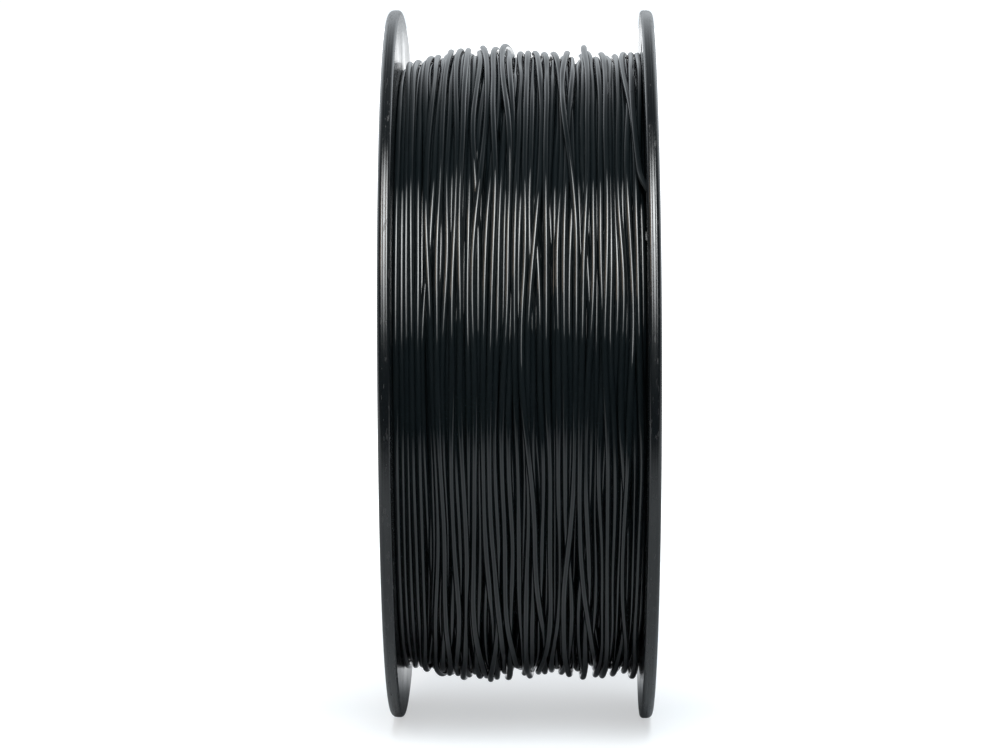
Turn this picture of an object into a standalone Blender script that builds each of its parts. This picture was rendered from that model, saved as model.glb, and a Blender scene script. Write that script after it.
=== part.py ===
"""Filament spool: two press-together moulded halves, a wound pack of filament, and the filament's two ends.

Metres, +Z up. The spool stands on its two rims with its axis along X, and the origin is the middle of
the bore. An angle round the axis is counted in degrees from -Y, the front, towards +Z, the top.
"""

import math

import bmesh
import bpy
import numpy as np
from mathutils import Matrix, Vector

# Driving dimensions of one half, measured outwards from its web's inner face or round the axis.
FLANGE_RADIUS = 0.1
INNER_WIDTH = 0.0666
RIM_WIDTH = 0.0035
RIM_HEIGHT = 0.003
RIM_CHAMFER = 0.0006
WEB = 0.0016
WALL = 0.0024
BORE_RADIUS = 0.0275
BOSS_RADIUS = 0.034
COLLAR_DEPTH = 0.012
BARREL_RADIUS = 0.0523
SLEEVE_LENGTH = 0.022
RIB_COUNT = 6
RIB_THICKNESS = 0.002
SEGMENTS = 64

# Clearance between parts that touch on the real spool.
GAP = 0.0003

# Openings in each web. A slot holds the filament's end, and a window shows how much is left.
SLOT_ANGLES = (76.5, 35.0)
SLOT_RADIUS = 0.0916
SLOT_LENGTH = 0.014
SLOT_WIDTH = 0.0034
WINDOW_COUNT = 6
WINDOW_INNER_RADIUS = 0.058
WINDOW_OUTER_RADIUS = 0.083
WINDOW_WIDTH = 0.008
LEFT_HALF_TURN = 46.5

# Filament and the envelope of its wound pack.
FILAMENT = 0.00175
PACK_RADIUS = 0.0882
CROWN_HEIGHT = 0.0013
CROWN_X = -0.0135
CROWN_WIDTH = 0.01
SHOULDER_DROP = 0.003
SHOULDER_POWER = 10
LEFT_STEP_HEIGHT = 0.0012
LEFT_STEP_X = -0.0235
LEFT_STEP_WIDTH = 0.0012
PACK_STATIONS = 19

# The wound filament starts at a hole through the barrel.
ANCHOR_ANGLE = 210.0
ANCHOR_X = 0.018
ANCHOR_HOLE_RADIUS = 0.0015

ROUTE_SPACING = 2.4 * FILAMENT
CURVE_STEPS = 24
END_ARC_STEPS = 8

MOULDED_BLACK = ((0.012, 0.012, 0.013, 1.0), 0.28)
FILAMENT_BLACK = ((0.014, 0.014, 0.015, 1.0), 0.32)

# Angle, radius and X of the free end, from where it leaves the pack to its bare tip: out through the
# lower slot and down in the recess behind the rim.
FREE_END_ROUTE = (
    (62.0, 0.0884, 0.0299),
    (58.5, 0.0884, 0.0300),
    (54.5, 0.0884, 0.0302),
    (50.8, 0.0884, 0.0305),
    (47.5, 0.0884, 0.0308),
    (44.5, 0.0886, 0.0311),
    (42.0, 0.0890, 0.0314),
    (40.2, 0.0895, 0.0317),
    (38.7, 0.0902, 0.0322),
    (37.3, 0.0909, 0.0330),
    (36.0, 0.0915, 0.0339),
    (34.6, 0.0919, 0.0349),
    (33.1, 0.0921, 0.0355),
    (31.0, 0.0921, 0.0358),
    (28.0, 0.0921, 0.03585),
    (24.0, 0.0921, 0.03585),
    (20.0, 0.0921, 0.03585),
)

# The same for the inner end, from under the pack, through the barrel and hooked over inside it.
INNER_END_ROUTE = (
    (ANCHOR_ANGLE, 0.0523, ANCHOR_X),
    (ANCHOR_ANGLE, 0.0504, ANCHOR_X),
    (ANCHOR_ANGLE, 0.0482, ANCHOR_X - 0.0002),
    (ANCHOR_ANGLE, 0.0464, ANCHOR_X - 0.0012),
    (ANCHOR_ANGLE, 0.0454, ANCHOR_X - 0.0032),
    (ANCHOR_ANGLE, 0.0452, ANCHOR_X - 0.0060),
)


def clear_scene():
    for obj in list(bpy.data.objects):
        bpy.data.objects.remove(obj, do_unlink=True)


def plastic(name, finish):
    """A moulded or drawn plastic from its (base colour, roughness)."""
    colour, roughness = finish
    material = bpy.data.materials.new(name)
    material.use_nodes = True
    shader = material.node_tree.nodes["Principled BSDF"]
    shader.inputs["Base Color"].default_value = colour
    shader.inputs["Roughness"].default_value = roughness
    shader.inputs["Metallic"].default_value = 0.0
    return material


def turn(angle):
    """Takes the front of the axis, -Y, to this angle round it."""
    return Matrix.Rotation(-math.radians(angle), 4, "X")


def around(angle, radius, x):
    return turn(angle) @ Vector((x, -radius, 0.0))


def mesh_object(name, bm, parent):
    """The finished bmesh as an object, with its faces pointing out and its round faces smooth."""
    bmesh.ops.recalc_face_normals(bm, faces=bm.faces)
    mesh = bpy.data.meshes.new(name)
    bm.to_mesh(mesh)
    bm.free()
    mesh.shade_smooth()
    mesh.set_sharp_from_angle(angle=math.radians(30))
    obj = bpy.data.objects.new(name, mesh)
    bpy.context.scene.collection.objects.link(obj)
    obj.parent = parent
    return obj


def axis_empty(name, parent=None, x=0.0):
    empty = bpy.data.objects.new(name, None)
    empty.empty_display_size = FLANGE_RADIUS / 4
    bpy.context.scene.collection.objects.link(empty)
    empty.parent = parent
    empty.location.x = x
    return empty


def turned(outline):
    """A closed (x, radius) outline spun about X, with flats and not corners at the top and bottom."""
    bm = bmesh.new()
    flat_to_corner = 180.0 / SEGMENTS
    verts = [bm.verts.new(around(flat_to_corner, radius, x)) for x, radius in outline]
    edges = [bm.edges.new((a, b)) for a, b in zip(verts, verts[1:] + verts[:1])]
    bmesh.ops.spin(
        bm,
        geom=verts + edges,
        cent=(0.0, 0.0, 0.0),
        axis=(1.0, 0.0, 0.0),
        angle=2 * math.pi,
        steps=SEGMENTS,
        use_merge=True,
    )
    return bm


def stadium(length, width):
    """The outline of a slot with round ends, in its own plane and along its first direction."""
    straight = (length - width) / 2
    angles = [math.pi * (i / END_ARC_STEPS - 0.5) for i in range(END_ARC_STEPS + 1)]
    end = [(straight + width / 2 * math.cos(a), width / 2 * math.sin(a)) for a in angles]
    return end + [(-u, -v) for u, v in end]


def add_prism(bm, outline, place, depth):
    """An outline in the YZ plane of place, extruded along its X from -depth / 2 to depth / 2."""
    low = [bm.verts.new(place @ Vector((-depth / 2, u, v))) for u, v in outline]
    face = bm.faces.new(low)
    grown = bmesh.ops.extrude_face_region(bm, geom=[face])["geom"]
    along = place.to_3x3() @ Vector((depth, 0.0, 0.0))
    bmesh.ops.translate(bm, vec=along, verts=[g for g in grown if isinstance(g, bmesh.types.BMVert)])


def helper(obj):
    obj.hide_render = True
    obj.display_type = "WIRE"
    return obj


def boolean(target, tool, operation):
    modifier = target.modifiers.new(f"{operation.lower()}_{tool.name}", "BOOLEAN")
    modifier.operation = operation
    modifier.solver = "EXACT"
    modifier.object = tool


def half_outline(tube_radius, tube_length):
    """Section of a half: X runs outwards from the web's inner face, and the tube runs inwards from it."""
    rim_inside = FLANGE_RADIUS - RIM_HEIGHT
    collar_radius = BORE_RADIUS + WALL
    return [
        (RIM_WIDTH, BORE_RADIUS),
        (RIM_WIDTH, BOSS_RADIUS),
        (WEB, BOSS_RADIUS),
        (WEB, rim_inside),
        (RIM_WIDTH, rim_inside),
        (RIM_WIDTH, FLANGE_RADIUS - RIM_CHAMFER),
        (RIM_WIDTH - RIM_CHAMFER, FLANGE_RADIUS),
        (RIM_CHAMFER, FLANGE_RADIUS),
        (0.0, FLANGE_RADIUS - RIM_CHAMFER),
        (0.0, tube_radius),
        (-tube_length, tube_radius),
        (-tube_length, tube_radius - WALL),
        (0.0, tube_radius - WALL),
        (0.0, collar_radius),
        (-COLLAR_DEPTH, collar_radius),
        (-COLLAR_DEPTH, BORE_RADIUS),
    ]


def hub_ribs(name, parent, tube_radius):
    """Radial ribs from the bore's collar to the tube, each buried half a wall in what it joins."""
    inner = BORE_RADIUS + WALL / 2
    outer = tube_radius - WALL / 2
    front = WEB / 2
    back = WALL / 2 - COLLAR_DEPTH
    size = Vector((front - back, outer - inner, RIB_THICKNESS))
    centre = Vector(((front + back) / 2, -(inner + outer) / 2, 0.0))
    bm = bmesh.new()
    for i in range(RIB_COUNT):
        place = turn(360.0 * i / RIB_COUNT) @ Matrix.Translation(centre) @ Matrix.Diagonal((*size, 1.0))
        bmesh.ops.create_cube(bm, size=1.0, matrix=place)
    return helper(mesh_object(name, bm, parent))


def web_openings(name, parent):
    """Cutters for the retaining slots, long round the axis, and for the windows, long away from it."""
    bm = bmesh.new()
    depth = 4 * RIM_WIDTH
    slot = [(v, u) for u, v in stadium(SLOT_LENGTH, SLOT_WIDTH)]
    for angle in SLOT_ANGLES:
        place = turn(angle) @ Matrix.Translation((0.0, -SLOT_RADIUS, 0.0))
        add_prism(bm, slot, place, depth)
    window = stadium(WINDOW_OUTER_RADIUS - WINDOW_INNER_RADIUS, WINDOW_WIDTH)
    middle = (WINDOW_OUTER_RADIUS + WINDOW_INNER_RADIUS) / 2
    for i in range(WINDOW_COUNT):
        place = turn(360.0 * (i + 0.5) / WINDOW_COUNT) @ Matrix.Translation((0.0, -middle, 0.0))
        add_prism(bm, window, place, depth)
    return helper(mesh_object(name, bm, parent))


def moulded_half(name, parent, tube_radius, tube_length):
    bm = turned(half_outline(tube_radius, tube_length))
    half = mesh_object(name, bm, parent)
    half.data.materials.append(plastic(name, MOULDED_BLACK))
    boolean(half, hub_ribs(f"{name}_ribs", half, tube_radius), "UNION")
    boolean(half, web_openings(f"{name}_openings", half), "DIFFERENCE")
    return half


def right_half(spool):
    """Flange with the full-length barrel that carries the filament, and the hole for its inner end."""
    half = moulded_half("right_half", spool, BARREL_RADIUS, INNER_WIDTH - GAP)
    half.location.x = INNER_WIDTH / 2
    bm = bmesh.new()
    mid_wall = around(ANCHOR_ANGLE, BARREL_RADIUS - WALL / 2, ANCHOR_X - INNER_WIDTH / 2)
    bmesh.ops.create_cone(
        bm,
        cap_ends=True,
        segments=4 * END_ARC_STEPS,
        radius1=ANCHOR_HOLE_RADIUS,
        radius2=ANCHOR_HOLE_RADIUS,
        depth=3 * WALL,
        matrix=Matrix.Translation(mid_wall) @ turn(ANCHOR_ANGLE) @ Matrix.Rotation(math.pi / 2, 4, "X"),
    )
    boolean(half, helper(mesh_object("anchor_hole", bm, half)), "DIFFERENCE")


def left_half(spool):
    """Flange with the short sleeve that presses into the barrel. It slides off along the spool's axis."""
    slide = axis_empty("left_half_slide", spool, x=-INNER_WIDTH / 2)
    half = moulded_half("left_half", slide, BARREL_RADIUS - WALL - GAP, SLEEVE_LENGTH)
    half.matrix_local = turn(LEFT_HALF_TURN) @ Matrix.Rotation(math.pi, 4, "Z")


def pack_radius(x):
    """Envelope of the wound filament: crowned left of the middle, falling away beside each flange, and
    lower at the left end, where the last two layers stop short of the flange."""
    crown = CROWN_HEIGHT * math.exp(-(((x - CROWN_X) / CROWN_WIDTH) ** 2))
    shoulder = SHOULDER_DROP * abs(2 * x / INNER_WIDTH) ** SHOULDER_POWER
    left_step = LEFT_STEP_HEIGHT / (1 + math.exp((x - LEFT_STEP_X) / LEFT_STEP_WIDTH))
    return PACK_RADIUS + crown - shoulder - left_step


def filament_winding(spool):
    """The pack's outer shape. Its many turns of one filament lie inside this ring."""
    edge = INNER_WIDTH / 2 - GAP
    # Stations crowd towards the flanges, where the profile bends most.
    angles = np.linspace(-math.pi / 2, math.pi / 2, PACK_STATIONS)
    outline = [(edge * math.sin(a), pack_radius(edge * math.sin(a))) for a in angles]
    outline += [(edge, BARREL_RADIUS + GAP), (-edge, BARREL_RADIUS + GAP)]
    winding = mesh_object("filament_winding", turned(outline), spool)
    winding.data.materials.append(plastic("filament_winding", FILAMENT_BLACK))


def smooth_route(route):
    """Evenly spaced points on the Catmull-Rom curve through a route of (angle, radius, x)."""
    knots = [np.array(around(*stop)) for stop in route]
    knots = [2 * knots[0] - knots[1], *knots, 2 * knots[-1] - knots[-2]]
    fine = []
    for before, start, end, after in zip(knots, knots[1:], knots[2:], knots[3:]):
        for t in np.arange(CURVE_STEPS) / CURVE_STEPS:
            linear = end - before
            square = 2 * before - 5 * start + 4 * end - after
            cube = 3 * (start - end) + after - before
            fine.append(start + (linear * t + square * t**2 + cube * t**3) / 2)
    fine = np.array([*fine, knots[-2]])
    travelled = np.concatenate([[0.0], np.cumsum(np.linalg.norm(np.diff(fine, axis=0), axis=1))])
    stops = np.linspace(0.0, travelled[-1], round(travelled[-1] / ROUTE_SPACING) + 1)
    return np.stack([np.interp(stops, travelled, fine[:, i]) for i in range(3)], axis=1)


def filament_end(name, spool, route):
    curve = bpy.data.curves.new(name, "CURVE")
    curve.dimensions = "3D"
    curve.bevel_depth = FILAMENT / 2
    curve.bevel_resolution = 2
    curve.use_fill_caps = True
    points = smooth_route(route)
    spline = curve.splines.new("POLY")
    spline.points.add(len(points) - 1)
    for spline_point, place in zip(spline.points, points):
        spline_point.co = (*place, 1.0)
    end = bpy.data.objects.new(name, curve)
    end.data.materials.append(plastic(name, FILAMENT_BLACK))
    bpy.context.scene.collection.objects.link(end)
    end.parent = spool


def main():
    clear_scene()
    spool = axis_empty("spool_axis")
    right_half(spool)
    left_half(spool)
    filament_winding(spool)
    filament_end("filament_free_end", spool, FREE_END_ROUTE)
    filament_end("filament_inner_end", spool, INNER_END_ROUTE)


main()
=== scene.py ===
import math

import bmesh
import bpy
import numpy as np
from mathutils import Matrix, Vector


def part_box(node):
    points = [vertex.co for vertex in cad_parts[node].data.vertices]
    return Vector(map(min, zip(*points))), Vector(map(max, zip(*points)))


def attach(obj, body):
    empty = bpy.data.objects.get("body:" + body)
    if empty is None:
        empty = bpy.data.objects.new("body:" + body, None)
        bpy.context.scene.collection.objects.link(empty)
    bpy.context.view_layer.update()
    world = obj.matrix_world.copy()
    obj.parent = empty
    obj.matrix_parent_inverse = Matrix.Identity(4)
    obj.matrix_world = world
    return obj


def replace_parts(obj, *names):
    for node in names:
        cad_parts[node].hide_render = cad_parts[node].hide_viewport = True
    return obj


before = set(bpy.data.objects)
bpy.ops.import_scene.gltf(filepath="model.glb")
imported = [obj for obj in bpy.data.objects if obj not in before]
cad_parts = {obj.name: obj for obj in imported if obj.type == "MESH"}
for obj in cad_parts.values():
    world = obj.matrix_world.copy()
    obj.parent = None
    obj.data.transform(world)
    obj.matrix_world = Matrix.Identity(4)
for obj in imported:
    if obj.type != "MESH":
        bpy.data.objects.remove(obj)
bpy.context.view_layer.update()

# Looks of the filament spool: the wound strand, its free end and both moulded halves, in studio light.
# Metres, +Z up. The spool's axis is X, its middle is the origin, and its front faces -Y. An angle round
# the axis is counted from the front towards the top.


def radii(node):
    """Smallest and largest distance from the spool's axis of a CAD node's vertices."""
    places = np.array([vertex.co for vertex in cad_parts[node].data.vertices])
    from_axis = np.hypot(places[:, 1], places[:, 2])
    return from_axis.min(), from_axis.max()


# The frame's own sizes.
FIT_GAP = 0.0003
HALF_INNER_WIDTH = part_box("filament_winding")[1].x + FIT_GAP
RIM_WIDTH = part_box("right_half")[1].x - HALF_INNER_WIDTH
SLEEVE_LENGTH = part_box("left_half")[1].x + HALF_INNER_WIDTH
BORE_RADIUS, FLANGE_RADIUS = radii("right_half")
BARREL_RADIUS = radii("filament_winding")[0] - FIT_GAP

# Sizes of the moulded halves that the frame's boxes don't give.
WEB = 0.0016
WALL = 0.0024
RIM_HEIGHT = 0.003
BOSS_RADIUS = 0.034
COLLAR_DEPTH = 0.012
RIB_COUNT = 6
RIB_THICKNESS = 0.002
SLOT_ANGLES = (76.5, 35.0)
SLOT_RADIUS = 0.0916
SLOT_LENGTH = 0.014
SLOT_WIDTH = 0.0034
WINDOW_COUNT = 6
WINDOW_INNER_RADIUS = 0.058
WINDOW_OUTER_RADIUS = 0.083
WINDOW_WIDTH = 0.008
LEFT_HALF_TURN = 46.5
FLANGE_SEGMENTS = 288
SHARP_ANGLE = math.radians(40)

# The strand and how it was wound. The jitter and the wander are how far its guide strays within a turn
# and over several turns, and the waviness is how hard its own set bends it sideways.
FILAMENT = 0.00175
TURN_STEPS = 240
TUBE_SIDES = 12
LAYER_RISE = 0.0016
WOUND_LAYERS = 5
FULL_LAYERS = 3
TRAVERSE_PITCH = 0.00178
GUIDE_JITTER = 0.00012
GUIDE_WANDER = 0.0004
WAVINESS = 0.18
WAVE_STEPS = 14
WINDING_SEED = 11

# The unmodelled turns below: how far they stay off the flanges, and how far they stray along and from
# the axis where they show at the sides.
CORE_STATIONS = 33
CORE_INSET = 0.0015
SIDE_SWAY = 0.00025
SIDE_RISE = 0.0001
SIDE_SEED = 5

# The envelope of the wound strand's high places, close to the CAD model's.
PACK_RADIUS = 0.0882
CROWN_HEIGHT = 0.0013
CROWN_X = -0.0135
CROWN_WIDTH = 0.01
SHOULDER_DROP = 0.003
LEFT_STEP_HEIGHT = 0.0012
LEFT_STEP_X = -0.0235
LEFT_STEP_WIDTH = 0.0008

# How far along X each flange is bent at its rim: at the top by the lean, and by the warp one way at the
# front and back and the other way at the top and bottom. It is straight up to the hinge radius. The
# strands keep clear of its bend at the wall radius.
HINGE_RADIUS = BARREL_RADIUS + 0.002
LEFT_LEAN = -0.00058
LEFT_WARP = 0.00049
RIGHT_LEAN = -0.00021
RIGHT_WARP = 0.00042
WALL_RADIUS = 0.084

# Furthest that a strand's middle goes each way between straight flanges, and where the last layer turns
# back.
SIDE_LIMIT = HALF_INNER_WIDTH - FILAMENT / 2
LAST_TURN_BACK = -0.0225

# Angle, radius and X of the free end, as in the CAD model, and the points made between two of them.
FREE_END_ROUTE = (
    (62.0, 0.0884, 0.0299),
    (58.5, 0.0884, 0.0300),
    (54.5, 0.0884, 0.0302),
    (50.8, 0.0884, 0.0305),
    (47.5, 0.0884, 0.0308),
    (44.5, 0.0886, 0.0311),
    (42.0, 0.0890, 0.0314),
    (40.2, 0.0895, 0.0317),
    (38.7, 0.0902, 0.0322),
    (37.3, 0.0909, 0.0330),
    (36.0, 0.0915, 0.0339),
    (34.6, 0.0919, 0.0349),
    (33.1, 0.0921, 0.0355),
    (31.0, 0.0921, 0.0358),
    (28.0, 0.0921, 0.03585),
    (24.0, 0.0921, 0.03585),
    (20.0, 0.0921, 0.03585),
)
ROUTE_SAMPLES = 24

# Finer shape of the moulded halves. A rim groove is its distance from the outer face, depth and width.
# The scuffs start and are full at these depths below the rim's top.
RIM_STATIONS = 81
OUTER_ROUNDING = 0.0016
INNER_ROUNDING = 0.001
CORNER_ROUNDING = 0.0003
CORNER_POINTS = 4
EDGE_CHAMFER = 0.0003
RIM_DRAFT = 0.0001
RIM_GROOVES = ((0.0014, 0.00006, 0.00014), (0.00225, 0.00004, 0.0001))
ROUND_END_POINTS = 13
PIN_MARK_SIDES = 32
PIN_MARK_RADIUS = 0.002
PIN_MARK_DEPTH = 0.00015
PIN_MARK_CIRCLES = (0.058, 0.088)
SCUFFS_START = 0.0012
SCUFFS_FULL = 0.0001

# Studio. Each pair is the two distances from the spool's axis, or from its middle, between which the
# floor's light or shade changes.
FLOOR_LENGTH = 14.0
FLOOR_FRONT = -0.34
# Painted shade in the spool's reflections: the floor's colour fades to black over this depth at its front,
# and is darker under the spool by this share between these distances.
FLOOR_PAINTED_SHADE_FADE = 0.18
FLOOR_SHADE_UNDER_SPOOL = 0.6
FLOOR_SHADED = (0.02, 0.05)
# Painted light: in the spool's reflections the floor's glow near the spool is only behind it.
FLOOR_LIT_BEHIND = (0.02, 0.08)
FLOOR_SHADE = (0.41, 0.435, 0.455)
# Painted light: the floor's glow, its tint, its strength at the spool, lower than beside it as a painted
# contact shadow, and its strength far from the spool.
FLOOR_TINT = (0.98, 0.99, 1.0, 1.0)
FLOOR_GLOW_AT_SPOOL = 0.52
FLOOR_GLOW_BESIDE = 0.62
FLOOR_NEAR_GLOW = (0.0, 0.06)
FLOOR_FAR_GLOW = 0.8
FLOOR_FAR = (0.1, 0.5)
WORLD_TINT = (0.94, 1.0, 1.05, 1.0)
BACKDROP = 1.1
WORLD_BY_ELEVATION = (
    (-100.0, 0.02),
    (-60.0, 0.6),
    (0.0, 0.6),
    (5.0, 0.65),
    (15.0, 0.92),
    (24.0, 1.0),
    (40.0, 0.86),
    (55.0, 0.48),
    (63.0, 0.31),
    (80.0, 0.13),
    (97.0, 0.05),
    (112.0, 0.04),
    (150.0, 0.02),
)
WORLD_SIDE_GAIN = 2.2
WORLD_SIDES = (0.2, 0.6)

# The key light is a stack of panels between two elevations, and each is smaller and nearer to the peak.
KEY_PANELS = 8
KEY_AZIMUTH = 3.0
KEY_DISTANCE = 1.2
KEY_LOW_EDGE = 16.0
KEY_HIGH_EDGE = 74.0
KEY_PEAK = 53.0
KEY_WIDTH = 0.62
KEY_PEAK_WIDTH = 0.2
KEY_RADIANCE = 3.0
KEY_COLOUR = (0.96, 0.99, 1.0)

CAMERA_ELEVATION = math.radians(6.0)
CAMERA_DISTANCE = 1.05
CAMERA_X = 0.0145
CAMERA_AIM = Vector((-0.0066, 0.0, -0.003))
CAMERA_LENS = 133.1


# ---------------------------------------------------------------- camera


def look_along(obj, direction):
    obj.rotation_euler = direction.to_track_quat("-Z", "Y").to_euler()


def make_camera():
    camera = bpy.data.objects.new("camera", bpy.data.cameras.new("camera"))
    bpy.context.scene.collection.objects.link(camera)
    camera.data.lens = CAMERA_LENS
    back = CAMERA_DISTANCE * math.cos(CAMERA_ELEVATION)
    camera.location = (CAMERA_X, -back, CAMERA_DISTANCE * math.sin(CAMERA_ELEVATION))
    look_along(camera, CAMERA_AIM - camera.location)
    bpy.context.scene.camera = camera


# ---------------------------------------------------------------- meshes


def turn(angle):
    """Takes the front of the axis, -Y, to this angle round it."""
    return Matrix.Rotation(-math.radians(angle), 4, "X")


def round_axis(x, radius, angle):
    """Points at these distances along and from the axis, at angles in radians."""
    return np.stack([x + 0 * angle, -radius * np.cos(angle), radius * np.sin(angle)], axis=-1)


def mesh_from_grid(name, points, closed_along=False):
    """A tube's mesh from rings of points: points[ring, side]. An open tube gets a face at each end."""
    rings, sides = points.shape[:2]
    ring = np.arange(rings if closed_along else rings - 1)[:, None]
    side = np.arange(sides)[None, :]
    after, beside = (ring + 1) % rings, (side + 1) % sides
    corners = (ring * sides + side, ring * sides + beside, after * sides + beside, after * sides + side)
    quads = np.stack(np.broadcast_arrays(*corners), axis=-1).reshape(-1, 4)
    ends = [] if closed_along else [np.arange(sides)[::-1], np.arange(sides) + (rings - 1) * sides]
    loops = np.concatenate([quads.ravel(), *ends])
    sizes = np.array([4] * len(quads) + [sides] * len(ends))
    mesh = bpy.data.meshes.new(name)
    mesh.vertices.add(rings * sides)
    mesh.vertices.foreach_set("co", points.reshape(-1).astype(np.float32))
    mesh.loops.add(len(loops))
    mesh.loops.foreach_set("vertex_index", loops.astype(np.int32))
    mesh.polygons.add(len(sizes))
    mesh.polygons.foreach_set("loop_start", (np.cumsum(sizes) - sizes).astype(np.int32))
    mesh.update(calc_edges=True)
    mesh.shade_smooth()
    mesh.set_sharp_from_angle(angle=SHARP_ANGLE)
    return mesh


def add_piece(name, mesh, material, body):
    piece = bpy.data.objects.new(name, mesh)
    bpy.context.scene.collection.objects.link(piece)
    mesh.materials.append(material)
    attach(piece, body)
    return piece


# ---------------------------------------------------------------- winding


def smooth_noise(rng, count, spacing):
    """Gaussian noise of unit size that changes over about this many samples."""
    knots = rng.normal(size=count // spacing + 4)
    at = np.arange(count) / spacing
    before = at.astype(int)
    share = at - before
    share = share * share * (3 - 2 * share)
    return knots[before] * (1 - share) + knots[before + 1] * share


def pack_radius(x, layers=WOUND_LAYERS):
    """Envelope of the pack with this many of its top layers wound: crowned left of the middle, low beside
    each flange, and lower at the left end, which the last layers don't reach."""
    unwound = (WOUND_LAYERS - layers) * LAYER_RISE
    crown = CROWN_HEIGHT * np.exp(-(((x - CROWN_X) / CROWN_WIDTH) ** 2))
    shoulder = SHOULDER_DROP * np.abs(x / HALF_INNER_WIDTH) ** 10
    missing = min(unwound, (WOUND_LAYERS - FULL_LAYERS) * LAYER_RISE)
    left_step = (LEFT_STEP_HEIGHT - missing) / (1 + np.exp((x - LEFT_STEP_X) / LEFT_STEP_WIDTH))
    return PACK_RADIUS - unwound + crown - shoulder - left_step


def traverse(rng):
    """X of the winder's guide at each step, back and forth, and the step at which each layer starts."""
    stops = (-SIDE_LIMIT, SIDE_LIMIT, -SIDE_LIMIT, SIDE_LIMIT, LAST_TURN_BACK, FREE_END_ROUTE[0][2])
    legs = []
    for start, end in zip(stops, stops[1:]):
        steps = round(abs(end - start) / TRAVERSE_PITCH * TURN_STEPS)
        legs.append(np.linspace(start, end, steps, endpoint=False))
    starts = np.cumsum([0] + [len(leg) for leg in legs])
    guide = np.concatenate(legs)
    guide += GUIDE_JITTER * smooth_noise(rng, len(guide), TURN_STEPS // 4)
    guide += GUIDE_WANDER * smooth_noise(rng, len(guide), 2 * TURN_STEPS)
    return guide, starts


def flange_bend(radius, sine, lean, warp):
    """How far along X a flange is bent at this radius and this sine of the angle round the axis."""
    share = np.maximum(radius - HINGE_RADIUS, 0.0) / (FLANGE_RADIUS - HINGE_RADIUS)
    return share * (lean * sine + warp * (1 - 2 * sine**2))


class HeightField:
    """Top surface of what is wound so far, by angle step and by cell across the spool."""

    CELL = 0.0001
    BROAD_ACROSS = 0.0022
    BROAD_ROUND = math.radians(14)
    REACH = int(FILAMENT / 2 / CELL) + 1
    MEAN_DEPTH = 0.4 * FILAMENT

    def __init__(self):
        self.cells = np.arange(-HALF_INNER_WIDTH - 0.001, HALF_INNER_WIDTH + 0.001, self.CELL)
        self.height = np.tile(pack_radius(self.cells, 0), (TURN_STEPS, 1))
        self.offsets = np.arange(-self.REACH, self.REACH + 1)
        apart = np.subtract.outer(self.cells, self.cells) / self.BROAD_ACROSS
        spread = np.exp(-(apart**2) / 2)
        self.across = spread / spread.sum(axis=0)
        waves = np.arange(TURN_STEPS // 2 + 1) * self.BROAD_ROUND
        self.round = np.exp(-(waves**2) / 2)[:, None]

    def nearby(self, x):
        """For each x, the cells under a strand there and how far its round side is above its centre."""
        middle = np.rint((x - self.cells[0]) / self.CELL).astype(int)
        under = np.clip(middle[:, None] + self.offsets, 0, len(self.cells) - 1)
        across = self.cells[under] - x[:, None]
        room = (FILAMENT / 2) ** 2 - across**2
        return under, np.sqrt(np.maximum(room, 0.0)), room > 0

    def support(self, steps, x):
        """Radius at which a strand's centre rests on the field at each step."""
        under, rise, inside = self.nearby(x)
        touch = self.height[(steps % TURN_STEPS)[:, None], under] + rise
        return np.where(inside, touch, 0.0).max(axis=1)

    def lay(self, steps, x, radius):
        under, rise, inside = self.nearby(x)
        rows = np.broadcast_to((steps % TURN_STEPS)[:, None], under.shape)
        top = np.where(inside, radius[:, None] + rise, 0.0)
        np.maximum.at(self.height, (rows, under), top)

    def level(self, x, radius, layers):
        """Presses the pack to its envelope where it is broadly high or low, with all the strand in it."""
        waves = np.fft.rfft(self.height @ self.across, axis=0)
        broad = np.fft.irfft(waves * self.round, TURN_STEPS, axis=0)
        hills = broad + self.MEAN_DEPTH - pack_radius(self.cells, layers)
        self.height -= hills
        cell = np.rint((x - self.cells[0]) / self.CELL).astype(int)
        radius -= hills[np.arange(len(x)) % TURN_STEPS, cell]


def taut(radius_below, step_angle, mean_radius):
    """A string pulled tight over these radii, which bridges the hollows between the high places."""
    at = np.arange(len(radius_below)) * step_angle
    bulge = mean_radius * at**2 / 2
    flat = radius_below - bulge
    hull = []
    for i in range(len(flat)):
        while len(hull) > 1:
            a, b = hull[-2], hull[-1]
            if (flat[b] - flat[a]) * (at[i] - at[b]) > (flat[i] - flat[b]) * (at[b] - at[a]):
                break
            hull.pop()
        hull.append(i)
    return np.interp(at, at[hull], flat[hull]) + bulge


def bend_stiffly(values):
    """A stiff strand goes over a high place in a wide smooth hump, and stays clear of it."""
    padded = np.pad(values, 4, mode="edge")
    highest = np.lib.stride_tricks.sliding_window_view(padded, 5).max(axis=1)
    weights = np.array([1.0, 3.0, 4.0, 3.0, 1.0])
    return np.convolve(highest, weights / weights.sum(), mode="valid")


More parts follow.
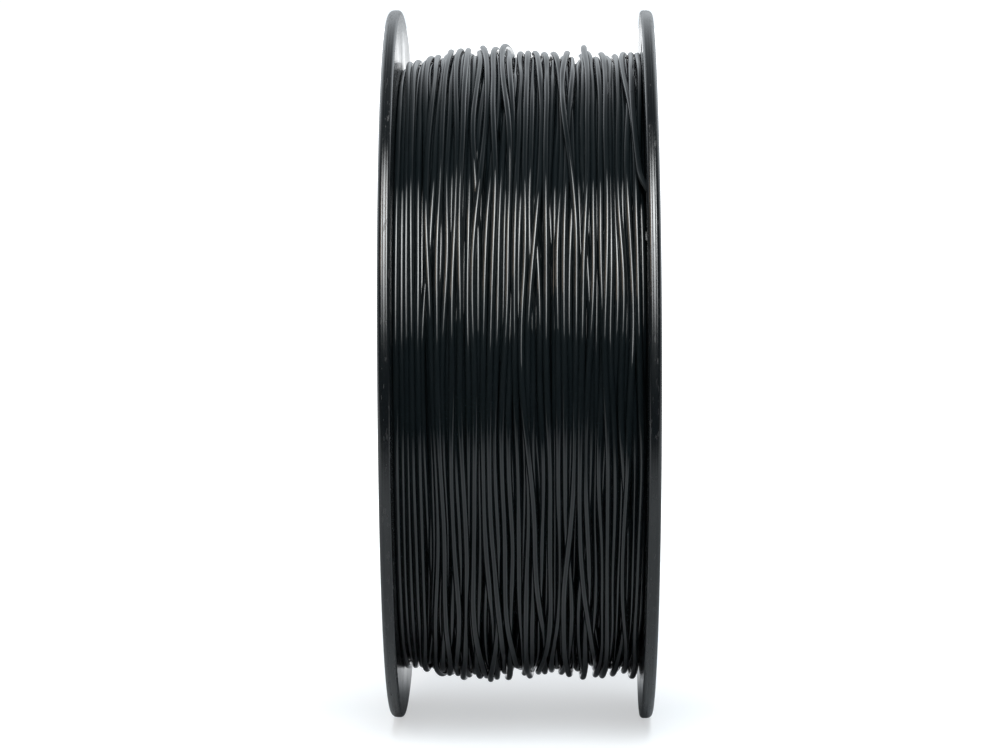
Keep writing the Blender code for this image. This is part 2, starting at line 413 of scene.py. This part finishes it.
class Relaxer:
    """Sideways rest of a stretch of taut strand whose start is laid and whose end is at the guide."""

    PASSES = 22
    LONGEST_STEP = 6e-5
    SHORTEST_STEP = 1e-5
    STIFF_LENGTH = 0.011
    STEEPEST = 1.5
    PROBE = 0.0001

    def __init__(self, count):
        spacing = 2 * math.pi * PACK_RADIUS / TURN_STEPS
        first = np.diff(np.eye(count + 3), axis=0) / spacing
        second = np.diff(first, axis=0) / spacing
        self.pull = first.T @ first + self.STIFF_LENGTH**2 * second.T @ second
        self.free = slice(2, count + 2)
        self.step_sizes = np.geomspace(self.LONGEST_STEP, self.SHORTEST_STEP, self.PASSES)
        own = self.pull[self.free, self.free]
        self.solvers = [np.linalg.inv(np.eye(count) + size * own) for size in self.step_sizes]

    def rest(self, field, steps, laid, end, waviness, walls):
        x = np.linspace(laid[-1], end, len(steps) + 2)[1:-1]
        whole = np.zeros(len(steps) + 3)
        whole[:2], whole[-1] = laid, end
        known = -(self.pull @ whole)[self.free]
        for size, solver in zip(self.step_sizes, self.solvers):
            right = field.support(steps, x + self.PROBE)
            left = field.support(steps, x - self.PROBE)
            slope = np.clip((right - left) / (2 * self.PROBE), -self.STEEPEST, self.STEEPEST)
            force = known - slope / PACK_RADIUS + waviness
            x = np.clip(solver @ (x + size * force), *walls)
        return x


def wind_strand():
    """The strand's path through the top layers as (x, radius, angle), and where each layer starts.

    Each stretch is laid on what is already there. It slides into grooves while the guide draws it
    along, it is pulled taut over the strands it crosses, and it becomes part of the surface."""
    rng = np.random.default_rng(WINDING_SEED)
    guide, starts = traverse(rng)
    count = len(guide)
    waviness = WAVINESS * smooth_noise(rng, count + TURN_STEPS, WAVE_STEPS)
    step_angle = 2 * math.pi / TURN_STEPS
    angle = math.radians(FREE_END_ROUTE[0][0]) + step_angle * np.arange(count - 1, -1, -1)
    left_wall = flange_bend(WALL_RADIUS, np.sin(angle), LEFT_LEAN, LEFT_WARP) - SIDE_LIMIT
    right_wall = flange_bend(WALL_RADIUS, np.sin(angle), RIGHT_LEAN, RIGHT_WARP) + SIDE_LIMIT
    guide = np.clip(guide, left_wall, right_wall)
    keep, ahead = TURN_STEPS // 2, 3 * TURN_STEPS // 4
    field = HeightField()
    relaxers = {}
    x = np.full(2, guide[0])
    radius = np.full(1, pack_radius(guide[0], 0) + FILAMENT / 2)
    while len(x) - 2 < count:
        done = len(x) - 2
        length = min(ahead, count - done)
        if length not in relaxers:
            relaxers[length] = Relaxer(length)
        steps = done + np.arange(length)
        end = guide[min(done + length, count - 1)]
        walls = left_wall[steps], right_wall[steps]
        lying = relaxers[length].rest(field, steps, x[-2:], end, waviness[steps], walls)
        below = field.support(steps, lying)
        pulled = bend_stiffly(taut(np.concatenate([radius[-1:], below]), step_angle, PACK_RADIUS))[1:]
        kept = min(keep, length) if done + length < count else length
        field.lay(steps[:kept], lying[:kept], pulled[:kept])
        x = np.concatenate([x, lying[:kept]])
        radius = np.concatenate([radius, pulled[:kept]])
        layers = np.searchsorted(starts, [done, done + kept], side="right") - 1
        if layers[1] > layers[0]:
            field.level(x[2:], radius[1:], layers[1])
    return x[2:], radius[1:], angle, starts


def meet_free_end(x, radius):
    """Brings the strand's last stretch to where its free end starts."""
    reach = TURN_STEPS // 8
    share = np.linspace(0.0, 1.0, reach)
    share = share * share * (3 - 2 * share)
    x[-reach:] += share * (FREE_END_ROUTE[0][2] - x[-reach:])
    radius[-reach:] += share * (FREE_END_ROUTE[0][1] - radius[-reach:])


def strand_tube(name, x, radius, angle):
    """The strand as a tube round its path. Its sides are counted from its outermost line."""
    x, radius, angle = x[::-1], radius[::-1], angle[::-1]
    side = np.linspace(0.0, 2 * math.pi, TUBE_SIDES, endpoint=False)[None, :]
    out = radius[:, None] + FILAMENT / 2 * np.cos(side)
    along = x[:, None] + FILAMENT / 2 * np.sin(side)
    return mesh_from_grid(name, round_axis(along, out, angle[:, None] + 0 * side))


def make_winding(material):
    """A piece for each layer but the first, which is only the bed of the next one."""
    x, radius, angle, starts = wind_strand()
    meet_free_end(x, radius)
    for layer in range(1, WOUND_LAYERS):
        first, last = starts[layer], min(starts[layer + 1] + 1, len(x))
        mesh = strand_tube(f"strand_layer_{layer}", x[first:last], radius[first:last], angle[first:last])
        piece = add_piece(mesh.name, mesh, material, "wound_half")
        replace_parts(piece, "filament_winding")


def make_core(material):
    """What the modelled layers lie on, and the turns that show at its sides through the windows."""
    rng = np.random.default_rng(SIDE_SEED)
    angle = np.linspace(0.0, 2 * math.pi, TURN_STEPS, endpoint=False)
    inner = BARREL_RADIUS + FIT_GAP
    half_width = HALF_INNER_WIDTH - CORE_INSET
    across = np.linspace(-half_width, half_width, CORE_STATIONS)
    outline_x = np.concatenate([across, [half_width, -half_width]])
    outline_r = np.concatenate([pack_radius(across, 0), [inner, inner]])
    points = round_axis(outline_x[None, :], outline_r[None, :], angle[:, None] + 0 * outline_x[None, :])
    mesh = mesh_from_grid("winding_core", points, closed_along=True)
    add_piece(mesh.name, mesh, material, "wound_half")
    side = np.linspace(0.0, 2 * math.pi, TUBE_SIDES, endpoint=False)[None, :]
    layers = int((pack_radius(0.0, 0) - inner) / LAYER_RISE) + 1
    for flange, name in ((-1, "left_side_turns"), (1, "right_side_turns")):
        turns = []
        for layer in range(layers):
            sway = SIDE_SWAY * smooth_ring_noise(rng, angle)
            middle = half_width - FILAMENT / 4 * (layer % 2) + sway
            centre = inner + FILAMENT / 2 + layer * LAYER_RISE + SIDE_RISE * smooth_ring_noise(rng, angle)
            out = centre[:, None] + FILAMENT / 2 * np.cos(side)
            along = flange * (middle[:, None] + FILAMENT / 2 * np.sin(side))
            turns.append(round_axis(along, out, angle[:, None] + 0 * side))
        mesh = joined([mesh_from_grid(name, points, closed_along=True) for points in turns], name)
        add_piece(name, mesh, material, "wound_half")


def smooth_ring_noise(rng, angle):
    """Noise that closes on itself round the axis."""
    waves = np.zeros_like(angle)
    for count in range(1, 7):
        waves += rng.normal() * np.cos(count * angle + rng.uniform(0, 2 * math.pi)) / count
    return waves


def joined(meshes, name):
    """Several meshes as one."""
    bm = bmesh.new()
    for mesh in meshes:
        bm.from_mesh(mesh)
        bpy.data.meshes.remove(mesh)
    whole = bpy.data.meshes.new(name)
    bm.to_mesh(whole)
    bm.free()
    whole.shade_smooth()
    return whole


def smooth_route(route, spacing):
    """Evenly spaced points on the Catmull-Rom curve through a route of (degrees, radius, x)."""
    knots = [round_axis(x, radius, np.radians(angle)) for angle, radius, x in route]
    knots = [2 * knots[0] - knots[1], *knots, 2 * knots[-1] - knots[-2]]
    fine = []
    for before, start, end, after in zip(knots, knots[1:], knots[2:], knots[3:]):
        for t in np.linspace(0.0, 1.0, ROUTE_SAMPLES, endpoint=False):
            linear = end - before
            square = 2 * before - 5 * start + 4 * end - after
            cube = 3 * (start - end) + after - before
            fine.append(start + (linear * t + square * t**2 + cube * t**3) / 2)
    fine = np.array([*fine, knots[-2]])
    travelled = np.concatenate([[0.0], np.cumsum(np.linalg.norm(np.diff(fine, axis=0), axis=1))])
    stops = np.linspace(0.0, travelled[-1], round(travelled[-1] / spacing) + 1)
    return np.stack([np.interp(stops, travelled, fine[:, i]) for i in range(3)], axis=1), travelled[-1]


def make_free_end(material):
    points, length = smooth_route(FREE_END_ROUTE, FILAMENT / 2)
    curve = bpy.data.curves.new("free_end", "CURVE")
    curve.dimensions = "3D"
    curve.bevel_depth = FILAMENT / 2
    curve.bevel_resolution = 4
    curve.use_fill_caps = True
    spline = curve.splines.new("POLY")
    spline.points.add(len(points) - 1)
    for spline_point, place in zip(spline.points, points):
        spline_point.co = (*place, 1.0)
    end = bpy.data.objects.new("free_end", curve)
    bpy.context.scene.collection.objects.link(end)
    curve.materials.append(material)
    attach(end, "wound_half")
    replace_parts(end, "filament_free_end")


# ---------------------------------------------------------------- moulded halves


def rim_profile():
    """Across the rim from the web's inner face outwards: rounded edges and shallow grooves."""
    x = np.linspace(0.0, RIM_WIDTH, RIM_STATIONS)
    radius = np.full(RIM_STATIONS, FLANGE_RADIUS)
    for rounding, from_edge in ((INNER_ROUNDING, x), (OUTER_ROUNDING, RIM_WIDTH - x)):
        into_edge = np.maximum(rounding - from_edge, 0.0)
        radius -= rounding - np.sqrt(rounding**2 - into_edge**2)
    for from_outside, depth, width in RIM_GROOVES:
        radius -= depth * np.exp(-(((RIM_WIDTH - from_outside - x) / width) ** 2))
    return np.stack([x, radius], axis=1)


def rounded(corners):
    """An open chain of corners, with each one between its ends replaced by a small curve. A support close
    to each end of the curve keeps the shading of the flat faces beside it flat."""
    corners = np.array(corners)
    points = [corners[:1]]
    t = np.linspace(0.0, 1.0, CORNER_POINTS)[:, None]
    for before, corner, after in zip(corners, corners[1:], corners[2:]):
        back = CORNER_ROUNDING * (before - corner) / np.linalg.norm(before - corner)
        on = CORNER_ROUNDING * (after - corner) / np.linalg.norm(after - corner)
        curve = corner + back * (1 - t) ** 2 + on * t**2
        points += [[corner + 2 * back], curve, [corner + 2 * on]]
    return np.concatenate([*points, corners[-1:]])


def half_outline(tube_radius, tube_length):
    """Section of a half: X runs outwards from the web's inner face, and the tube runs inwards from it.
    The points at the hinge radius are where the flange starts to bend."""
    rim = rim_profile()
    rim_inside = FLANGE_RADIUS - RIM_HEIGHT
    collar_radius = BORE_RADIUS + WALL
    chain = rounded([
        rim[-1],
        (RIM_WIDTH, rim_inside),
        (WEB, rim_inside - RIM_DRAFT),
        (WEB, HINGE_RADIUS),
        (WEB, BOSS_RADIUS + RIM_DRAFT),
        (RIM_WIDTH, BOSS_RADIUS),
        (RIM_WIDTH, BORE_RADIUS),
        (-COLLAR_DEPTH, BORE_RADIUS),
        (-COLLAR_DEPTH, collar_radius),
        (0.0, collar_radius),
        (0.0, tube_radius - WALL),
        (-tube_length, tube_radius - WALL),
        (-tube_length, tube_radius),
        (0.0, tube_radius),
        (0.0, HINGE_RADIUS),
        (0.0, rim[0, 1] - 3 * CORNER_ROUNDING),
        rim[0],
    ])
    return np.concatenate([rim, chain[1:-1]])


def stadium(length, width):
    """Outline of a slot with round ends, along its first direction."""
    angle = np.linspace(-math.pi / 2, math.pi / 2, ROUND_END_POINTS)
    end = np.stack([(length - width) / 2 + width / 2 * np.cos(angle), width / 2 * np.sin(angle)], axis=1)
    return np.concatenate([end, -end])


def opening_cutter(length, width, place):
    """What is cut from the web for a slot. It is wider at both faces, which chamfers the slot's edges."""
    stations = (
        (-WEB / 2, EDGE_CHAMFER),
        (0.0, EDGE_CHAMFER),
        (EDGE_CHAMFER, 0.0),
        (WEB - EDGE_CHAMFER, 0.0),
        (WEB, EDGE_CHAMFER),
        (WEB * 1.5, EDGE_CHAMFER),
    )
    rings = []
    for x, wider in stations:
        outline = stadium(length + 2 * wider, width + 2 * wider)
        rings.append([place @ Vector((x, u, v)) for u, v in outline])
    return mesh_from_grid("cutter", np.array(rings))


def pin_mark_cutter(place):
    """What is cut from the web's outer face for the shallow round mark of an ejector pin."""
    angle = np.linspace(0.0, 2 * math.pi, PIN_MARK_SIDES, endpoint=False)
    circle = PIN_MARK_RADIUS * np.stack([np.cos(angle), np.sin(angle)], axis=1)
    rings = [[place @ Vector((x, u, v)) for u, v in circle] for x in (WEB - PIN_MARK_DEPTH, WEB * 1.5)]
    return mesh_from_grid("cutter", np.array(rings))


def web_cutters():
    """All the slots, windows and pin marks of one half."""
    cutters = []
    across = Matrix.Rotation(math.pi / 2, 4, "X")
    for angle in SLOT_ANGLES:
        place = turn(angle) @ Matrix.Translation((0.0, -SLOT_RADIUS, 0.0)) @ across
        cutters.append(opening_cutter(SLOT_LENGTH, SLOT_WIDTH, place))
    middle = (WINDOW_INNER_RADIUS + WINDOW_OUTER_RADIUS) / 2
    for i in range(WINDOW_COUNT):
        angle = 360.0 * (i + 0.5) / WINDOW_COUNT
        place = turn(angle) @ Matrix.Translation((0.0, -middle, 0.0))
        cutters.append(opening_cutter(WINDOW_OUTER_RADIUS - WINDOW_INNER_RADIUS, WINDOW_WIDTH, place))
    for i in range(WINDOW_COUNT):
        for radius in PIN_MARK_CIRCLES:
            place = turn(360.0 * i / WINDOW_COUNT) @ Matrix.Translation((0.0, -radius, 0.0))
            cutters.append(pin_mark_cutter(place))
    return joined(cutters, "web_cutters")


def hub_ribs(tube_radius):
    """Radial ribs from the bore's collar to the tube, each buried half a wall in what it joins."""
    inner = BORE_RADIUS + WALL / 2
    outer = tube_radius - WALL / 2
    front = WEB / 2
    back = WALL / 2 - COLLAR_DEPTH
    size = (front - back, outer - inner, RIB_THICKNESS)
    centre = Vector(((front + back) / 2, -(inner + outer) / 2, 0.0))
    bm = bmesh.new()
    for i in range(RIB_COUNT):
        place = turn(360.0 * i / RIB_COUNT) @ Matrix.Translation(centre) @ Matrix.Diagonal((*size, 1.0))
        bmesh.ops.create_cube(bm, size=1.0, matrix=place)
    bmesh.ops.bevel(bm, geom=bm.edges[:], offset=CORNER_ROUNDING, segments=2, profile=0.5, affect="EDGES")
    ribs = bpy.data.meshes.new("hub_ribs")
    bm.to_mesh(ribs)
    bm.free()
    return ribs


def cut(mesh, cutters):
    """The mesh less the cutters, by an exact Boolean."""
    target = bpy.data.objects.new("target", mesh)
    tool = bpy.data.objects.new("tool", cutters)
    for obj in (target, tool):
        bpy.context.scene.collection.objects.link(obj)
    modifier = target.modifiers.new("cut", "BOOLEAN")
    modifier.solver = "EXACT"
    modifier.object = tool
    evaluated = target.evaluated_get(bpy.context.evaluated_depsgraph_get())
    result = bpy.data.meshes.new_from_object(evaluated)
    for obj in (target, tool):
        bpy.data.objects.remove(obj)
    return result


def moulded_half(name, tube_radius, tube_length, place):
    angle = np.linspace(0.0, 2 * math.pi, FLANGE_SEGMENTS, endpoint=False)[:, None]
    outline = half_outline(tube_radius, tube_length)
    turned = round_axis(outline[None, :, 0] + 0 * angle, outline[None, :, 1] + 0 * angle, angle)
    half = cut(mesh_from_grid("turned", turned, closed_along=True), web_cutters())
    half = joined([half, hub_ribs(tube_radius)], name)
    half.transform(place)
    half.set_sharp_from_angle(angle=SHARP_ANGLE)
    return half


def bend(mesh, lean, warp):
    """Bends a flange along X, by nothing at the hub and by these distances at its rim."""
    for vertex in mesh.vertices:
        radius = math.hypot(vertex.co.y, vertex.co.z)
        vertex.co.x += flange_bend(radius, vertex.co.z / radius, lean, warp)


def make_halves(material):
    right_place = Matrix.Translation((HALF_INNER_WIDTH, 0.0, 0.0))
    right = moulded_half("right_flange", BARREL_RADIUS, 2 * HALF_INNER_WIDTH - FIT_GAP, right_place)
    bend(right, RIGHT_LEAN, RIGHT_WARP)
    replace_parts(add_piece(right.name, right, material, "wound_half"), "right_half")
    left_place = Matrix.Translation((-HALF_INNER_WIDTH, 0.0, 0.0)) @ turn(LEFT_HALF_TURN)
    left_place = left_place @ Matrix.Rotation(math.pi, 4, "Z")
    left = moulded_half("left_flange", BARREL_RADIUS - WALL - FIT_GAP, SLEEVE_LENGTH, left_place)
    bend(left, LEFT_LEAN, LEFT_WARP)
    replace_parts(add_piece(left.name, left, material, "left_half"), "left_half")


# ---------------------------------------------------------------- materials


class Look:
    """A principled material under construction."""

    def __init__(self, name):
        self.material = bpy.data.materials.new(name)
        self.material.use_nodes = True
        self.tree = self.material.node_tree
        self.shader = self.tree.nodes["Principled BSDF"]

    def put(self, socket, value):
        if isinstance(value, bpy.types.NodeSocket):
            self.tree.links.new(value, socket)
        else:
            socket.default_value = value

    def node(self, kind, inputs=(), **settings):
        node = self.tree.nodes.new(kind)
        for key, value in settings.items():
            setattr(node, key, value)
        for key, value in dict(inputs).items():
            self.put(node.inputs[key], value)
        return node

    def math(self, operation, *values):
        return self.node("ShaderNodeMath", dict(enumerate(values)), operation=operation).outputs[0]

    def ramp(self, value, low, high, at_low, at_high):
        """Goes smoothly from at_low to at_high as the value goes from low to high."""
        inputs = {"Value": value, "From Min": low, "From Max": high, "To Min": at_low, "To Max": at_high}
        return self.node("ShaderNodeMapRange", inputs, interpolation_type="SMOOTHSTEP").outputs[0]

    def round_places(self):
        """X, distance from the spool's axis, and the cosine and sine of the angle round it."""
        place = self.node("ShaderNodeTexCoord").outputs["Object"]
        x, y, z = self.node("ShaderNodeSeparateXYZ", {"Vector": place}).outputs
        squares = self.math("ADD", self.math("MULTIPLY", y, y), self.math("MULTIPLY", z, z))
        radius = self.math("SQRT", squares)
        return x, radius, self.math("DIVIDE", y, radius), self.math("DIVIDE", z, radius)

    def streaks(self, places, across, along, detail=2.0):
        """Noise with this many features to a metre across, drawn out round the axis."""
        x, radius, cosine, sine = places
        vector = self.node(
            "ShaderNodeCombineXYZ",
            {
                "X": self.math("MULTIPLY", x, across),
                "Y": self.math("MULTIPLY", radius, across),
                "Z": self.math("MULTIPLY", cosine, along),
            },
        ).outputs[0]
        inputs = {"Vector": vector, "W": self.math("MULTIPLY", sine, along), "Scale": 1.0, "Detail": detail}
        return self.node("ShaderNodeTexNoise", inputs, noise_dimensions="4D").outputs["Fac"]

    def grain(self, scale, detail=2.0):
        place = self.node("ShaderNodeTexCoord").outputs["Object"]
        inputs = {"Vector": place, "Scale": scale, "Detail": detail}
        return self.node("ShaderNodeTexNoise", inputs).outputs["Fac"]

    def colour(self, share, low, high):
        mix = self.node("ShaderNodeMix", data_type="RGBA")
        self.put(mix.inputs["Factor"], share)
        self.put(mix.inputs["A"], (*low, 1.0))
        self.put(mix.inputs["B"], (*high, 1.0))
        self.put(self.shader.inputs["Base Color"], mix.outputs["Result"])

    def bump(self, height, distance, strength):
        """Adds this relief over any that is there already."""
        inputs = {"Height": height, "Distance": distance, "Strength": strength}
        node = self.node("ShaderNodeBump", inputs)
        normal = self.shader.inputs["Normal"]
        if normal.is_linked:
            self.put(node.inputs["Normal"], normal.links[0].from_socket)
        self.put(normal, node.outputs[0])


def filament_look():
    """Drawn black plastic: glossy, with fine lines along it and slightly duller stretches."""
    look = Look("filament_black")
    places = look.round_places()
    slow = look.streaks(places, across=700.0, along=9.0)
    fine = look.streaks(places, across=5200.0, along=14.0)
    look.colour(slow, (0.0026, 0.0044, 0.0052), (0.0056, 0.0078, 0.0089))
    look.put(look.shader.inputs["Roughness"], look.ramp(slow, 0.3, 0.7, 0.08, 0.15))
    look.put(look.shader.inputs["IOR"], 1.47)
    look.bump(fine, distance=0.00001, strength=0.15)
    look.bump(look.grain(2600.0), distance=0.00001, strength=0.06)
    return look.material


def moulded_look():
    """Injection-moulded black plastic: concentric flow marks, and scuffs round the rolling edge."""
    look = Look("moulded_black")
    places = look.round_places()
    rings = look.streaks(places, across=900.0, along=2.5, detail=3.0)
    fine_rings = look.streaks(places, across=4200.0, along=5.0)
    blotches = look.grain(55.0, detail=4.0)
    at_rim = look.ramp(places[1], FLANGE_RADIUS - SCUFFS_START, FLANGE_RADIUS - SCUFFS_FULL, 0.0, 1.0)
    marks = look.streaks(places, across=1500.0, along=30.0)
    scuffs = look.math("MULTIPLY", at_rim, look.ramp(marks, 0.58, 0.74, 0.0, 1.0))
    look.colour(scuffs, (0.0034, 0.0046, 0.0054), (0.02, 0.02, 0.021))
    gloss = look.ramp(blotches, 0.3, 0.7, 0.15, 0.24)
    look.put(look.shader.inputs["Roughness"], look.math("MULTIPLY_ADD", scuffs, 0.25, gloss))
    look.put(look.shader.inputs["IOR"], 1.5)
    look.bump(rings, distance=0.00003, strength=0.4)
    look.bump(fine_rings, distance=0.00001, strength=0.5)
    look.bump(look.grain(1800.0), distance=0.00001, strength=0.3)
    return look.material


def floor_look():
    """Pale paper that glows as if lit from below, a painted light, and glows least under the spool, a
    painted shadow. In the spool's reflections, though not to the eye, its front isn't lit by that glow, its
    colour fades out towards its front edge as painted shade, and it is darker under the spool as a painted
    shadow."""
    look = Look("pale_floor")
    place = look.node("ShaderNodeTexCoord").outputs["Object"]
    distance = look.node("ShaderNodeVectorMath", {0: place}, operation="LENGTH").outputs["Value"]
    y = look.node("ShaderNodeSeparateXYZ", {"Vector": place}).outputs["Y"]
    look.put(look.shader.inputs["Roughness"], 0.6)
    look.put(look.shader.inputs["Emission Color"], FLOOR_TINT)
    seen = look.node("ShaderNodeLightPath").outputs["Is Camera Ray"]
    beside = look.math("ABSOLUTE", y)
    # Painted shade, in the spool's reflections only: the floor's colour fades to black towards its front
    # edge and is darker right under the spool.
    painted_front_shade = look.ramp(y, FLOOR_FRONT, FLOOR_FRONT + FLOOR_PAINTED_SHADE_FADE, 0.0, 1.0)
    shaded = look.ramp(beside, *FLOOR_SHADED, FLOOR_SHADE_UNDER_SPOOL, 1.0)
    there = look.math("MAXIMUM", seen, look.math("MULTIPLY", painted_front_shade, shaded))
    look.colour(there, (0.0, 0.0, 0.0), FLOOR_SHADE)
    # Painted light: the floor glows, less right under the spool as a painted contact shadow, in the spool's
    # reflections only behind the spool, and more far from the spool.
    lit = look.math("MAXIMUM", seen, look.ramp(y, *FLOOR_LIT_BEHIND, 0.0, 1.0))
    painted_glow_near_spool = look.ramp(beside, *FLOOR_NEAR_GLOW, FLOOR_GLOW_AT_SPOOL, FLOOR_GLOW_BESIDE)
    far = look.math("MULTIPLY", there, look.ramp(distance, *FLOOR_FAR, 0.0, FLOOR_FAR_GLOW))
    look.put(look.shader.inputs["Emission Strength"], look.math("MULTIPLY_ADD", painted_glow_near_spool, lit, far))
    look.bump(look.grain(1200.0), distance=0.00002, strength=0.3)
    return look.material


# ---------------------------------------------------------------- studio


def make_floor():
    """A table top that ends a little in front of the spool, as a dark room begins there."""
    mesh = bpy.data.meshes.new("floor")
    bm = bmesh.new()
    middle = Matrix.Translation((0.0, FLOOR_FRONT + FLOOR_LENGTH / 2, 0.0))
    bmesh.ops.create_grid(bm, x_segments=1, y_segments=1, size=FLOOR_LENGTH / 2, matrix=middle)
    bm.to_mesh(mesh)
    bm.free()
    floor = bpy.data.objects.new("floor", mesh)
    bpy.context.scene.collection.objects.link(floor)
    floor.location.z = -FLANGE_RADIUS
    mesh.materials.append(floor_look())


def softbox(name, azimuth, elevation, distance, size, radiance, colour):
    """A lit panel aimed at the spool. Azimuth is counted from the front towards +X."""
    azimuth, elevation = math.radians(azimuth), math.radians(elevation)
    light = bpy.data.lights.new(name, "AREA")
    light.shape = "RECTANGLE"
    light.size, light.size_y = size
    light.energy = radiance * math.pi * size[0] * size[1]
    light.color = colour
    panel = bpy.data.objects.new(name, light)
    bpy.context.scene.collection.objects.link(panel)
    level = distance * math.cos(elevation)
    panel.location = (level * math.sin(azimuth), -level * math.cos(azimuth), distance * math.sin(elevation))
    look_along(panel, -panel.location)


def make_world():
    """Light by elevation, counted from the horizon behind the spool, over the top, to the front. It is
    stronger at the sides, and an even backdrop to the eye."""
    world = bpy.data.worlds.new("studio")
    bpy.context.scene.world = world
    world.use_nodes = True
    nodes, links = world.node_tree.nodes, world.node_tree.links
    split = nodes.new("ShaderNodeSeparateXYZ")
    links.new(nodes.new("ShaderNodeTexCoord").outputs["Generated"], split.inputs["Vector"])

    def combine(operation, a, b):
        node = nodes.new("ShaderNodeMath")
        node.operation = operation
        for socket, value in zip(node.inputs, (a, b)):
            if isinstance(value, bpy.types.NodeSocket):
                links.new(value, socket)
            else:
                socket.default_value = value
        return node.outputs[0]

    elevation = combine("ARCTAN2", split.outputs["Z"], split.outputs["Y"])
    ramp = nodes.new("ShaderNodeValToRGB")
    links.new(combine("ADD", combine("DIVIDE", elevation, 2 * math.pi), 0.5), ramp.inputs["Fac"])
    stops = ramp.color_ramp.elements
    while len(stops) < len(WORLD_BY_ELEVATION):
        stops.new(1.0)
    for stop, (degrees, radiance) in zip(stops, WORLD_BY_ELEVATION):
        stop.position = degrees / 360 + 0.5
        stop.color = (radiance, radiance, radiance, 1.0)
    sides = nodes.new("ShaderNodeMapRange")
    sides.interpolation_type = "SMOOTHSTEP"
    sides.inputs["From Min"].default_value = WORLD_SIDES[0]
    sides.inputs["From Max"].default_value = WORLD_SIDES[1]
    sides.inputs["To Min"].default_value = 1.0
    sides.inputs["To Max"].default_value = WORLD_SIDE_GAIN
    links.new(combine("ABSOLUTE", split.outputs["X"], 0.0), sides.inputs["Value"])
    glow = combine("MULTIPLY", ramp.outputs["Color"], sides.outputs[0])
    backdrop = combine("MULTIPLY", nodes.new("ShaderNodeLightPath").outputs["Is Camera Ray"], BACKDROP)
    seen = combine("MAXIMUM", glow, backdrop)
    nodes["Background"].inputs["Color"].default_value = WORLD_TINT
    links.new(seen, nodes["Background"].inputs["Strength"])


def make_studio():
    make_floor()
    make_world()
    for i in range(KEY_PANELS):
        share = i / KEY_PANELS
        low, high = (edge + share * (KEY_PEAK - edge) for edge in (KEY_LOW_EDGE, KEY_HIGH_EDGE))
        height = 2 * KEY_DISTANCE * math.tan(math.radians(high - low) / 2)
        width = KEY_WIDTH + share * (KEY_PEAK_WIDTH - KEY_WIDTH)
        softbox(
            f"key_{i}",
            azimuth=KEY_AZIMUTH,
            elevation=(low + high) / 2,
            distance=KEY_DISTANCE,
            size=(width, height),
            radiance=KEY_RADIANCE,
            colour=KEY_COLOUR,
        )
    softbox(
        "warm_side_panel",
        azimuth=-45.0,
        elevation=42.0,
        distance=1.3,
        size=(0.25, 0.7),
        radiance=6.0,
        colour=(1.0, 0.8, 0.62),
    )
    bpy.context.scene.view_settings.view_transform = "Standard"


make_camera()
FILAMENT_LOOK = filament_look()
make_free_end(FILAMENT_LOOK)
make_winding(FILAMENT_LOOK)
make_core(FILAMENT_LOOK)
make_halves(moulded_look())
for material_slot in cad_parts["filament_inner_end"].material_slots:
    material_slot.material = FILAMENT_LOOK
make_studio()
